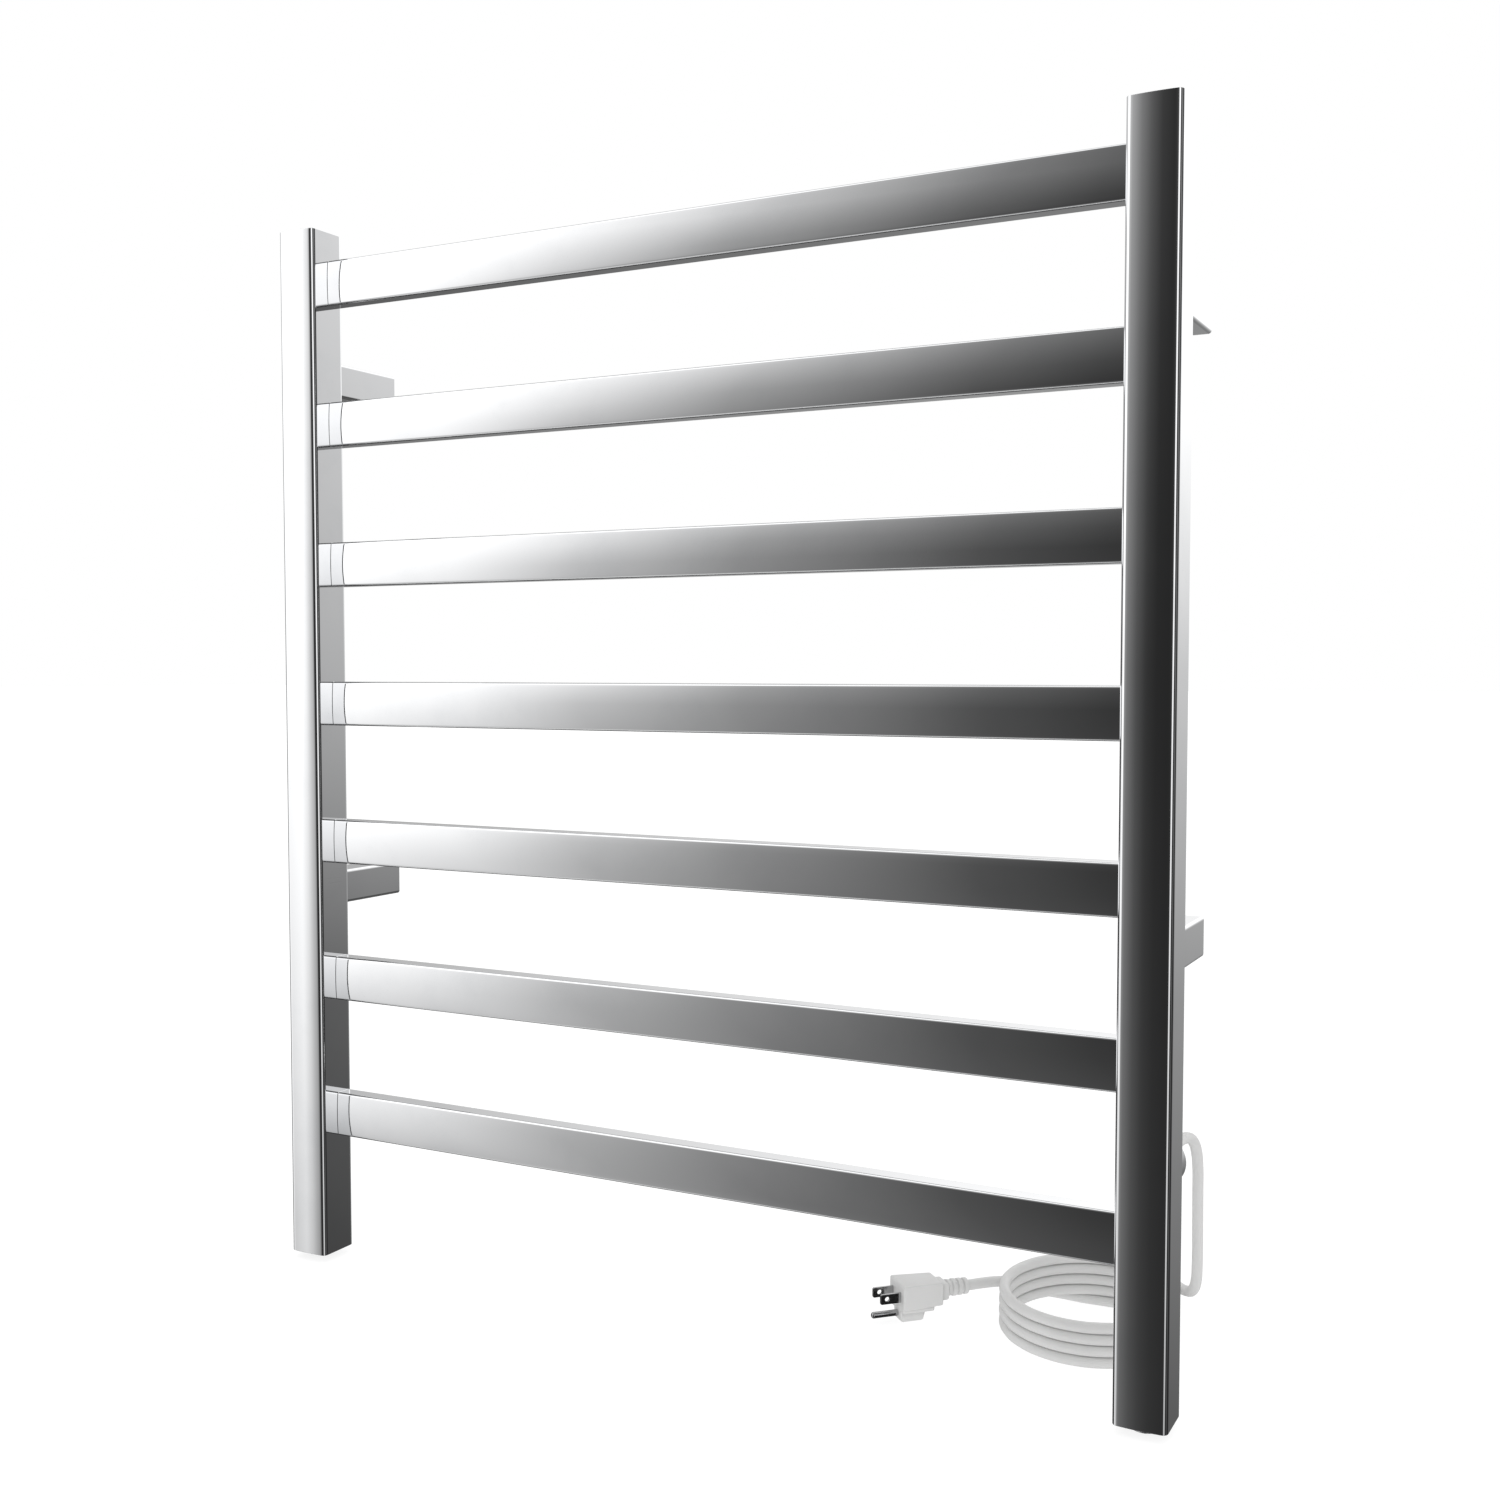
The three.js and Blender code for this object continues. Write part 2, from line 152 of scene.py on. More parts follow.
def use_group(tree, group, **values):
    """Places a shared effect in a material with its own values."""
    node = tree.nodes.new("ShaderNodeGroup")
    node.node_tree = group
    for name, value in values.items():
        node.inputs[name.replace("_", " ")].default_value = value
    return node


def mix_colours(tree, factor, a, b):
    """Blends from a to b by factor; each is a socket or a red, green, blue tuple."""
    node = add_node(tree, "ShaderNodeMix", data_type="RGBA")
    tree.links.new(factor, node.inputs["Factor"])
    for socket, value in ((node.inputs[6], a), (node.inputs[7], b)):
        if isinstance(value, tuple):
            socket.default_value = (*value, 1)
        else:
            tree.links.new(value, socket)
    return node.outputs[2]


# ---- shared surface effects -----------------------------------------------------------------------

def make_handling_wear():
    """Polishing haze, finger smudges and hairline scratches: a roughness, a mask and a height."""
    tree, start, end = group_tree(
        "handling_wear",
        {"Low Roughness": 0.03, "High Roughness": 0.12, "Smudge Scale": 22, "Hairline Scale": 900},
        {"Roughness": "NodeSocketFloat", "Mask": "NodeSocketFloat", "Height": "NodeSocketFloat"},
    )
    place = tree.nodes.new("ShaderNodeTexCoord").outputs["Object"]
    smudge = noise(tree, place, start.outputs["Smudge Scale"], 4, 0.6)
    smudge = spread_between(tree, smudge, 0.48, 0.78, 0.0, 1.0)
    stretched = []
    for turn in ((0.2, 0.1, 0.5), (0.9, 0.4, -0.8)):
        mapping = add_node(tree, "ShaderNodeMapping")
        mapping.inputs["Rotation"].default_value = turn
        mapping.inputs["Scale"].default_value = (1, 0.035, 1)
        tree.links.new(place, mapping.inputs["Vector"])
        line = noise(tree, mapping.outputs["Vector"], start.outputs["Hairline Scale"], 1, 0.4)
        stretched.append(spread_between(tree, line, 0.70, 0.76, 0.0, 1.0))
    hairline = maths(tree, "MAXIMUM", *stretched)
    patches = spread_between(tree, noise(tree, place, 9.0, 2), 0.45, 0.7, 0.0, 1.0)
    hairline = maths(tree, "MULTIPLY", hairline, patches)
    mask = maths(tree, "MULTIPLY_ADD", smudge, 0.7, maths(tree, "MULTIPLY", hairline, 0.3))
    rough = spread_between(
        tree, mask, 0.0, 1.0, start.outputs["Low Roughness"], start.outputs["High Roughness"]
    )
    height = maths(tree, "MULTIPLY", hairline, -1.0)
    tree.links.new(rough, end.inputs["Roughness"])
    tree.links.new(mask, end.inputs["Mask"])
    tree.links.new(height, end.inputs["Height"])
    return tree


def make_moulded_grain():
    """Fine spark grain of a moulded plastic, with slow shade drift and a little settled dust."""
    tree, start, end = group_tree(
        "moulded_grain",
        {"Grain Scale": 2600, "Low Roughness": 0.38, "High Roughness": 0.55, "Dust": 0.3},
        {
            "Roughness": "NodeSocketFloat", "Height": "NodeSocketFloat",
            "Drift": "NodeSocketFloat", "Dust Mask": "NodeSocketFloat",
        },
    )
    place = tree.nodes.new("ShaderNodeTexCoord").outputs["Object"]
    grain = noise(tree, place, start.outputs["Grain Scale"], 2, 0.6)
    drift = noise(tree, place, 34.0, 3, 0.55)
    facing = add_node(tree, "ShaderNodeSeparateXYZ")
    tree.links.new(tree.nodes.new("ShaderNodeNewGeometry").outputs["Normal"], facing.inputs[0])
    upward = spread_between(tree, facing.outputs["Z"], 0.35, 1.0, 0.0, 1.0)
    specks = spread_between(tree, noise(tree, place, 420.0, 4, 0.7), 0.5, 0.75, 0.0, 1.0)
    dust = maths(tree, "MULTIPLY", maths(tree, "MULTIPLY", upward, specks), start.outputs["Dust"])
    mixed = maths(tree, "MULTIPLY_ADD", grain, 0.5, maths(tree, "MULTIPLY", drift, 0.5))
    rough = spread_between(
        tree, mixed, 0.3, 0.7, start.outputs["Low Roughness"], start.outputs["High Roughness"]
    )
    tree.links.new(rough, end.inputs["Roughness"])
    tree.links.new(grain, end.inputs["Height"])
    tree.links.new(drift, end.inputs["Drift"])
    tree.links.new(dust, end.inputs["Dust Mask"])
    return tree


def make_brushed_metal():
    """Fine lines left by a belt or a lathe, drawn out along X."""
    tree, start, end = group_tree(
        "brushed_metal",
        {"Line Scale": 1500, "Stretch": 0.03, "Low Roughness": 0.25, "High Roughness": 0.45},
        {"Roughness": "NodeSocketFloat", "Height": "NodeSocketFloat", "Shade": "NodeSocketFloat"},
    )
    place = tree.nodes.new("ShaderNodeTexCoord").outputs["Object"]
    stretch = add_node(tree, "ShaderNodeCombineXYZ", inputs={"Y": 1.0, "Z": 1.0})
    tree.links.new(start.outputs["Stretch"], stretch.inputs["X"])
    product = add_node(tree, "ShaderNodeVectorMath", operation="MULTIPLY")
    tree.links.new(place, product.inputs[0])
    tree.links.new(stretch.outputs[0], product.inputs[1])
    lines = noise(tree, product.outputs[0], start.outputs["Line Scale"], 3, 0.7)
    cloud = noise(tree, place, 60.0, 4, 0.6)
    mixed = maths(tree, "MULTIPLY_ADD", lines, 0.6, maths(tree, "MULTIPLY", cloud, 0.4))
    rough = spread_between(
        tree, mixed, 0.35, 0.65, start.outputs["Low Roughness"], start.outputs["High Roughness"]
    )
    tree.links.new(rough, end.inputs["Roughness"])
    tree.links.new(lines, end.inputs["Height"])
    tree.links.new(cloud, end.inputs["Shade"])
    return tree


HANDLING_WEAR = make_handling_wear()
MOULDED_GRAIN = make_moulded_grain()
BRUSHED_METAL = make_brushed_metal()


def principled(material):
    """The material's Principled shader."""
    return material.node_tree.nodes["Principled BSDF"]


def bump(tree, height, distance, strength):
    """A Bump node fed by a height; returns its normal."""
    node = add_node(
        tree, "ShaderNodeBump", inputs={"Strength": strength, "Distance": distance}
    )
    tree.links.new(height, node.inputs["Height"])
    return node.outputs["Normal"]


def polished_chrome(name, clean, worn, low, high):
    """Mirror plating whose colour and roughness follow the handling wear."""
    material = new_material(name)
    tree = material.node_tree
    shader = principled(material)
    shader.inputs["Metallic"].default_value = 1.0
    wear = use_group(tree, HANDLING_WEAR, Low_Roughness=low, High_Roughness=high)
    tree.links.new(mix_colours(tree, wear.outputs["Mask"], clean, worn), shader.inputs["Base Color"])
    tree.links.new(wear.outputs["Roughness"], shader.inputs["Roughness"])
    normal = bump(tree, wear.outputs["Height"], 0.00001, 0.25)
    tree.links.new(normal, shader.inputs["Normal"])
    return material


def worked_metal(name, light, dark, low, high, scale, stretch):
    """Bare metal with fine tool lines."""
    material = new_material(name)
    tree = material.node_tree
    shader = principled(material)
    shader.inputs["Metallic"].default_value = 1.0
    lines = use_group(
        tree, BRUSHED_METAL,
        Line_Scale=scale, Stretch=stretch, Low_Roughness=low, High_Roughness=high,
    )
    tree.links.new(mix_colours(tree, lines.outputs["Shade"], light, dark), shader.inputs["Base Color"])
    tree.links.new(lines.outputs["Roughness"], shader.inputs["Roughness"])
    normal = bump(tree, lines.outputs["Height"], 0.00002, 0.3)
    tree.links.new(normal, shader.inputs["Normal"])
    return material


def moulded_plastic(name, light, dark, dusty, low, high, grain=2600, dust=0.3):
    """Grained plastic with a slow drift of shade and a little dust on what faces up."""
    material = new_material(name)
    tree = material.node_tree
    shader = principled(material)
    skin = use_group(
        tree, MOULDED_GRAIN,
        Grain_Scale=grain, Low_Roughness=low, High_Roughness=high, Dust=dust,
    )
    body = mix_colours(tree, skin.outputs["Drift"], light, dark)
    body = mix_colours(tree, skin.outputs["Dust Mask"], body, dusty)
    tree.links.new(body, shader.inputs["Base Color"])
    tree.links.new(skin.outputs["Roughness"], shader.inputs["Roughness"])
    normal = bump(tree, skin.outputs["Height"], 0.00003, 0.35)
    tree.links.new(normal, shader.inputs["Normal"])
    return material


CHROME = polished_chrome("mirror_chrome", (0.93, 0.935, 0.945), (0.86, 0.87, 0.885), 0.025, 0.09)
BUTTON_CHROME = polished_chrome("button_chrome", (0.9, 0.905, 0.915), (0.8, 0.81, 0.83), 0.05, 0.2)
ZINC = worked_metal("zinc_steel", (0.66, 0.67, 0.69), (0.5, 0.51, 0.54), 0.28, 0.5, 1500, 0.03)
HEATER_STEEL = worked_metal("heater_sheath", (0.5, 0.5, 0.5), (0.36, 0.35, 0.34), 0.35, 0.6, 900, 0.2)
NICKEL = worked_metal("nickel_contact", (0.55, 0.55, 0.55), (0.42, 0.42, 0.43), 0.08, 0.2, 1800, 0.05)
BRASS = worked_metal("turned_brass", (0.78, 0.62, 0.36), (0.6, 0.46, 0.24), 0.25, 0.45, 1600, 0.06)
WHITE_VINYL = moulded_plastic(
    "white_vinyl", (0.70, 0.70, 0.695), (0.66, 0.66, 0.655), (0.58, 0.57, 0.55), 0.42, 0.6, dust=0.12
)
DARK_PLASTIC = moulded_plastic(
    "dark_plastic", (0.035, 0.035, 0.038), (0.022, 0.022, 0.025), (0.2, 0.19, 0.17), 0.42, 0.6
)


# ---- helpers for meshes ---------------------------------------------------------------------------

def make_piece(name, bm, material, body="rack", replaced=(), weighted=True):
    """Makes a smooth piece of a bmesh that lies where it belongs, riding on a CAD body."""
    mesh = bpy.data.meshes.new(name)
    bm.to_mesh(mesh)
    bm.free()
    mesh.shade_smooth()
    mesh.materials.append(material)
    piece = bpy.data.objects.new(name, mesh)
    scene.collection.objects.link(piece)
    if weighted:
        modifier = piece.modifiers.new("flat_faces_stay_flat", "WEIGHTED_NORMAL")
        modifier.weight = 100
        modifier.keep_sharp = True
    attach(piece, body)
    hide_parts(*replaced)
    return piece


def block(size):
    """A box of that size round the origin."""
    bm = bmesh.new()
    bmesh.ops.create_cube(bm, size=1)
    bmesh.ops.scale(bm, vec=size, verts=bm.verts)
    return bm


def round_edges(bm, edges, radius, segments):
    """Bevels the edges to a round of that radius."""
    bmesh.ops.bevel(
        bm, geom=edges, offset=radius, affect="EDGES", segments=segments, profile=0.5, material=-1,
    )


def edges_along(bm, axis):
    """The edges that run along one axis: 0, 1 or 2."""
    def run(edge):
        return abs((edge.verts[0].co - edge.verts[1].co)[axis])
    return [edge for edge in bm.edges if run(edge) > 0.99 * edge.calc_length()]


def faces_towards(bm, axis, sign):
    """The faces that look along one axis: 0, 1 or 2, with a sign of 1 or -1."""
    return [face for face in bm.faces if face.normal[axis] * sign > 0.99]


def move_to(bm, place, *turns):
    """Turns the mesh by each (angle, axis) in turn, then moves it."""
    matrix = Matrix.Identity(4)
    for angle, axis in turns:
        matrix = Matrix.Rotation(angle, 4, axis) @ matrix
    bmesh.ops.transform(bm, matrix=Matrix.Translation(place) @ matrix, verts=bm.verts)
    return bm


def turned(profile, steps=48):
    """Spins (radius, height) points round Z. The outline closes on itself or ends on the axis."""
    bm = bmesh.new()
    verts = [bm.verts.new((radius, 0, height)) for radius, height in profile]
    pairs = list(zip(verts, verts[1:]))
    if profile[0][0] > 0:
        pairs.append((verts[-1], verts[0]))
    edges = [bm.edges.new(pair) for pair in pairs]
    bmesh.ops.spin(
        bm, geom=verts + edges, cent=(0, 0, 0), axis=(0, 0, 1), angle=math.tau, steps=steps,
        use_merge=True,
    )
    bmesh.ops.remove_doubles(bm, verts=bm.verts, dist=1e-6)
    bmesh.ops.recalc_face_normals(bm, faces=bm.faces)
    return bm


def fillet(centre_r, centre_z, radius, start, end, steps=4):
    """Points of a round corner in a turned outline, angles in degrees."""
    points = []
    for step in range(steps + 1):
        angle = math.radians(start + (end - start) * step / steps)
        points.append((centre_r + radius * math.cos(angle), centre_z + radius * math.sin(angle)))
    return points


def helper_object(bm):
    """A short-lived object for a Boolean modifier."""
    mesh = bpy.data.meshes.new("helper")
    bm.to_mesh(mesh)
    bm.free()
    made = bpy.data.objects.new("helper", mesh)
    scene.collection.objects.link(made)
    return made


def combine(bm, tools, operation="DIFFERENCE"):
    """Cuts the tools from a mesh, or joins them to it, and gives the new mesh back."""
    body = helper_object(bm)
    helpers = [helper_object(tool) for tool in tools]
    for helper in helpers:
        modifier = body.modifiers.new("combine", "BOOLEAN")
        modifier.operation = operation
        modifier.solver = "EXACT"
        modifier.object = helper
    bpy.context.view_layer.update()
    shown = body.evaluated_get(bpy.context.evaluated_depsgraph_get())
    mesh = bpy.data.meshes.new_from_object(shown)
    result = bmesh.new()
    result.from_mesh(mesh)
    bpy.data.meshes.remove(mesh)
    for helper in [body, *helpers]:
        data = helper.data
        bpy.data.objects.remove(helper)
        bpy.data.meshes.remove(data)
    return result


def round_cutter(place, radius, length, *turns, sides=32):
    """A plain cylinder that drills a hole: along Z unless turned."""
    bm = bmesh.new()
    bmesh.ops.create_cone(
        bm, cap_ends=True, segments=sides, radius1=radius, radius2=radius, depth=length,
    )
    return move_to(bm, place, *turns)


# ---- mains cord -----------------------------------------------------------------------------------

CORD_RADIUS = 3.3 * MM
COIL_RADIUS = coil.size.x / 2 - CORD_RADIUS
COIL_START = math.radians(75)
COIL_TURNS = 4 + 23 / 360
COIL_PITCH = 6.8 * MM
COIL_LEAN = 0.15                      # how far each turn sinks on the front side, in pitches
TURN_POINTS = 18

LEAD_ROUTE = [
    (290, -34, -292.5), (290, -16.4, -292.6), (290, -8, -292.9), (290, 6, -294.2),
    (290, 19, -297), (290, 31, -302), (290, 40, -310), (289.8, 45.5, -322), (289.4, 48, -337),
    (289.2, 49.4, -354), (289.1, 50.4, -370), (288.6, 52.4, -384), (287.2, 56.4, -394.8),
    (283.4, 63.6, -403.6), (279, 69.8, -407), (273.3, 76, -408.2), (266.5, 81.4, -406.8),
    (258.5, 83, -403.6), (250.2, 84.2, -402.3),
]
TAIL_ROUTE = [
    (209, 86.8, -429.6), (197.4, 84.8, -428.6), (187.1, 80.3, -426.8), (178.6, 72.5, -423.2),
    (172, 64, -419), (166.6, 57.2, -416.4), (160.6, 50.8, -415.4), (154, 44.8, -415.5),
    (147.3, 38.9, -416), (141, 32.4, -416),
]
PLUG_BACK = Vector((146.7, 38.3, -416)) * MM
PLUG_HEADING = math.atan2(-0.71, -0.7)


def coil_route():
    """Points down the coil, anticlockwise seen from above, each turn lying on the next."""
    count = round(COIL_TURNS * TURN_POINTS)
    bottom = floor_height + CORD_RADIUS
    points = []
    for step in range(count + 1):
        turns_left = COIL_TURNS * (1 - step / count)
        angle = COIL_START + (COIL_TURNS - turns_left) * math.tau
        sunk = COIL_LEAN * (1 - math.cos(turns_left * math.tau))
        points.append(Vector((
            coil.mid.x + COIL_RADIUS * math.cos(angle),
            coil.mid.y + COIL_RADIUS * math.sin(angle),
            bottom + COIL_PITCH * (turns_left - sunk),
        )))
    return points


def make_cord():
    """The whole cord as one tube: lead, coil and tail."""
    route = [Vector(point) * MM for point in LEAD_ROUTE]
    route += coil_route()
    route += [Vector(point) * MM for point in TAIL_ROUTE]
    curve = bpy.data.curves.new("mains_cord", "CURVE")
    curve.dimensions = "3D"
    curve.resolution_u = 6
    curve.bevel_depth = CORD_RADIUS
    curve.bevel_resolution = 6
    curve.use_fill_caps = True
    line = curve.splines.new("BEZIER")
    line.bezier_points.add(len(route) - 1)
    for point, place in zip(line.bezier_points, route):
        point.co = place
        point.handle_left_type = "AUTO"
        point.handle_right_type = "AUTO"
    curve.materials.append(WHITE_VINYL)
    cord = bpy.data.objects.new("mains_cord", curve)
    scene.collection.objects.link(cord)
    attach(cord, "rack")
    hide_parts("cord_lead", "cord_coil", "cord_tail")
    return cord


mains_cord = make_cord()


# ---- posts, bars and end caps ---------------------------------------------------------------------

CORNER_STEPS = 8
CROWN_STEPS = 18


def square_tube(width, depth, length, radius, wall, crown):
    """Hollow tube standing on Z, open at both ends, its front towards -Y bulged by crown."""
    bm = block((width, depth - crown, length))
    bmesh.ops.translate(bm, vec=(0, crown / 2, 0), verts=bm.verts)
    round_edges(bm, edges_along(bm, 2), radius, CORNER_STEPS)
    front = -depth / 2 + crown
    across = [
        edge for edge in edges_along(bm, 0)
        if all(abs(vert.co.y - front) < 1e-6 for vert in edge.verts)
    ]
    bmesh.ops.subdivide_edges(bm, edges=across, cuts=CROWN_STEPS)
    ends = [face for face in bm.faces if abs(face.normal.z) > 0.99]
    bmesh.ops.inset_region(bm, faces=ends, thickness=wall, use_even_offset=True)
    rims = list({edge for face in ends for edge in face.edges})
    bmesh.ops.delete(bm, geom=ends, context="FACES_ONLY")
    bmesh.ops.bridge_loops(bm, edges=rims)
    bmesh.ops.recalc_face_normals(bm, faces=bm.faces)
    for vert in bm.verts:
        if vert.co.y < 0:
            vert.co.y -= crown * (1 - (2 * vert.co.x / width) ** 2)
    return bm


def soften_rims(bm, size):
    """A fine machined edge round both open ends."""
    ring_faces = [face for face in bm.faces if abs(face.normal.z) > 0.9]
    rim = {
        edge for face in ring_faces for edge in face.edges
        if len(edge.link_faces) == 2 and not all(other in ring_faces for other in edge.link_faces)
    }
    round_edges(bm, list(rim), size, 2)


POST_RADIUS = 3 * MM
POST_WALL = 1.5 * MM
POST_CROWN = 0.85 * MM
BAR_RADIUS = 1.5 * MM
BAR_WALL = 1.2 * MM
BAR_CROWN = 0.75 * MM


def make_post(side):
    """Upright square tube, its crowned front towards the room."""
    span = Span(f"{side}_post")
    bm = square_tube(*span.size, POST_RADIUS, POST_WALL, POST_CROWN)
    soften_rims(bm, 0.3 * MM)
    move_to(bm, span.mid)
    make_piece(f"{side}_post_tube", bm, CHROME, replaced=[f"{side}_post"])


def make_bar(row):
    """Heated cross bar, the same tube laid along X."""
    span = Span(f"bar_{row}")
    bm = square_tube(span.size.z, span.size.y, span.size.x, BAR_RADIUS, BAR_WALL, BAR_CROWN)
    move_to(bm, span.mid, (math.pi / 2, "Y"))
    make_piece(f"bar_{row}_tube", bm, CHROME, replaced=[f"bar_{row}"])


def make_end_cap(name):
    """Flat plate that closes a post's end."""
    span = Span(name)
    bm = block(span.size)
    round_edges(bm, edges_along(bm, 2), 1.2 * MM, 5)
    rim = [
        edge for edge in bm.edges
        if abs(edge.verts[0].co.z - edge.verts[1].co.z) < 1e-7
    ]
    round_edges(bm, rim, 0.3 * MM, 2)
    move_to(bm, span.mid)
    make_piece(f"{name}_plate", bm, CHROME, replaced=[name])


for side in ("left", "right"):
    make_post(side)
for row in range(1, 8):
    make_bar(row)
for cap in ("left_top_cap", "right_top_cap", "left_bottom_cap"):
    make_end_cap(cap)


# ---- wall brackets --------------------------------------------------------------------------------

BRACKET_RADIUS = 2 * MM
BRACKET_WALL = 1.5 * MM
BRACKET_END_WALL = 3 * MM
SET_SCREW_HOLE = 2.3 * MM


def make_bracket(place):
    """A box open at the wall, with a set screw's hole in its underside."""
    span = Span(f"bracket_{place}")
    length = span.size.y
    bm = block((span.size.x, span.size.z, length))
    round_edges(bm, edges_along(bm, 2), BRACKET_RADIUS, CORNER_STEPS)
    wall_end = faces_towards(bm, 2, 1)
    bmesh.ops.inset_region(bm, faces=wall_end, thickness=BRACKET_WALL, use_even_offset=True)
    inner = bmesh.ops.extrude_face_region(bm, geom=wall_end)["geom"]
    bmesh.ops.delete(bm, geom=wall_end, context="FACES_ONLY")
    verts = [item for item in inner if isinstance(item, bmesh.types.BMVert)]
    bmesh.ops.translate(bm, vec=(0, 0, BRACKET_END_WALL - length), verts=verts)
    bmesh.ops.recalc_face_normals(bm, faces=bm.faces)
    rim = [
        edge for edge in bm.edges
        if abs(edge.verts[0].co.z - edge.verts[1].co.z) < 1e-7 and len(edge.link_faces) == 2
        and abs(edge.verts[0].co.z) > length / 2 - 1e-5
        and abs(edge.link_faces[0].normal.dot(edge.link_faces[1].normal)) < 0.5
    ]
    round_edges(bm, rim, 0.25 * MM, 2)
    move_to(bm, span.mid, (-math.pi / 2, "X"))
    screw = Span(f"set_screw_{place}").mid
    hole = round_cutter((screw.x, screw.y, span.low.z), SET_SCREW_HOLE, 4 * MM)
    bm = combine(bm, [hole])
    make_piece(f"bracket_{place}_box", bm, CHROME, replaced=[f"bracket_{place}"])


def make_set_screw(place):
    """A headless screw with a hexagon socket in its lower end."""
    span = Span(f"set_screw_{place}")
    radius, height = span.size.x / 2, span.size.z
    chamfer = 0.4 * MM
    socket_radius = 1.15 * MM
    socket_length = 1.2 * MM
    outline = [
        (0, height / 2), (radius - chamfer, height / 2), (radius, height / 2 - chamfer),
        (radius, -height / 2 + chamfer), (radius - chamfer, -height / 2), (0, -height / 2),
    ]
    socket = round_cutter((0, 0, -height / 2), socket_radius, socket_length, sides=6)
    bm = combine(turned(outline, 24), [socket])
    move_to(bm, span.mid)
    make_piece(f"set_screw_{place}_socket", bm, ZINC, replaced=[f"set_screw_{place}"])


def make_wall_mount(place):
    """The block screwed to the wall, drilled and counterbored, with its edges broken."""
    span = Span(f"wall_mount_{place}")
    bm = block(span.size)
    round_edges(bm, list(bm.edges), 0.5 * MM, 3)
    move_to(bm, span.mid)
    screw_radius = 2.6 * MM
    head_radius = 5.2 * MM
    recess_length = 36 * MM
    turn = (math.pi / 2, "X")
    recess = Vector((span.mid.x, span.low.y, span.mid.z))
    tools = [
        round_cutter(span.mid, screw_radius, 2 * span.size.y, turn),
        round_cutter(recess, head_radius, recess_length, turn),
    ]
    bm = combine(bm, tools)
    make_piece(f"wall_mount_{place}_block", bm, ZINC, replaced=[f"wall_mount_{place}"])


for place in ("upper_left", "upper_right", "lower_left", "lower_right"):
    make_bracket(place)
    make_set_screw(place)
    make_wall_mount(place)


# ---- cord gland and boot --------------------------------------------------------------------------

def make_gland():
    """Gland: a shank through the post's wall, a flat seat, a short barrel and a low dome."""
    bore = CORD_RADIUS + 0.4 * MM
    radius = gland.size.x / 2
    seat = right_post.high.y + 0.3 * MM - gland.low.y
    shank = 6 * MM
    edge = 0.5 * MM
    rise = 6 * MM
    dome_steps = 14
    dome_angle = math.radians(74)
    shoulder = gland.size.y - rise
    outline = [(bore, 0), (shank, 0), (shank, seat)]
    outline += fillet(radius - edge, seat + edge, edge, -90, 0, 4)
    for step in range(dome_steps + 1):
        angle = step * dome_angle / dome_steps
        height = rise * math.sin(angle) / math.sin(dome_angle)
        outline.append((radius * math.cos(angle), shoulder + height))
    outline.append((bore, gland.size.y))
    bm = turned(outline, 64)
    move_to(bm, (gland.mid.x, gland.low.y, gland.mid.z), (-math.pi / 2, "X"))
    make_piece("cord_gland_dome", bm, CHROME, replaced=["cord_gland"])


def make_boot():
    """Tapered strain relief with bending grooves."""
    bore = CORD_RADIUS + 0.1 * MM
    length = boot.size.y
    rings = 6
    collar = 4 * MM
    step = (length - collar - 1.5 * MM) / rings
    outline = [(bore, 0), (6.0 * MM, 0)]
    outline += fillet(5.9 * MM, 0.5 * MM, 0.3 * MM, -45, 0, 2)
    outline += fillet(5.9 * MM, collar - 0.5 * MM, 0.3 * MM, 0, 60, 2)
    for ring in range(rings):
        share = ring / (rings - 1)
        crest = (5.7 - 1.3 * share) * MM
        root = crest - (1.1 - 0.4 * share) * MM
        start = collar + ring * step
        outline += [
            (root, start + 0.15 * step), (root, start + 0.35 * step),
            (crest - 0.15 * MM, start + 0.45 * step), (crest, start + 0.55 * step),
            (crest, start + 0.85 * step), (crest - 0.15 * MM, start + 0.95 * step),
        ]
    outline += [(4.2 * MM, length - 0.5 * MM), (4.0 * MM, length), (bore, length)]
    bm = turned(outline, 40)
    move_to(bm, (boot.mid.x, boot.low.y, boot.mid.z), (-math.pi / 2, "X"))
    return make_piece(
        "cord_boot_grooved", bm, WHITE_VINYL, replaced=["cord_boot"], weighted=False
    )


make_gland()
grooved_boot = make_boot()


# ---- push switch under the right post -------------------------------------------------------------

def make_bezel():
    """Flanged ring pressed into the post's lower end."""
    bezel = Span("switch_bezel")
    flange = bezel.size.x / 2
    thick = 1.2 * MM
    bore = 8.8 * MM
    barrel = 10.2 * MM
    outline = [(bore, 0.3 * MM), (bore + 0.3 * MM, 0)]
    outline += fillet(flange - 0.5 * MM, 0.5 * MM, 0.5 * MM, -90, 0, 5)
    outline += [
        (flange, thick), (barrel, thick), (barrel, bezel.size.z), (bore, bezel.size.z),
    ]
    bm = move_to(turned(outline, 64), (bezel.mid.x, bezel.mid.y, bezel.low.z))
    make_piece("switch_bezel_ring", bm, CHROME, replaced=["switch_bezel"])


def make_button():
    """Push cap with a slightly hollow face turned down and a rounded rim."""
    button = Span("power_button")
    radius = button.size.x / 2
    outline = [(0, 0), (radius * 0.35, 0.03 * MM), (radius * 0.6, 0.12 * MM), (radius * 0.8, 0.28 * MM)]
    outline += fillet(radius - 0.9 * MM, 1.3 * MM, 0.9 * MM, -68, 0, 6)
    outline += [(radius, button.size.z), (0, button.size.z)]
    bm = move_to(turned(outline, 64), (button.mid.x, button.mid.y, button.low.z))
    make_piece(
        "power_button_cap", bm, BUTTON_CHROME, body="button", replaced=["power_button"]
    )


make_bezel()
make_button()


# ---- grounded plug --------------------------------------------------------------------------------

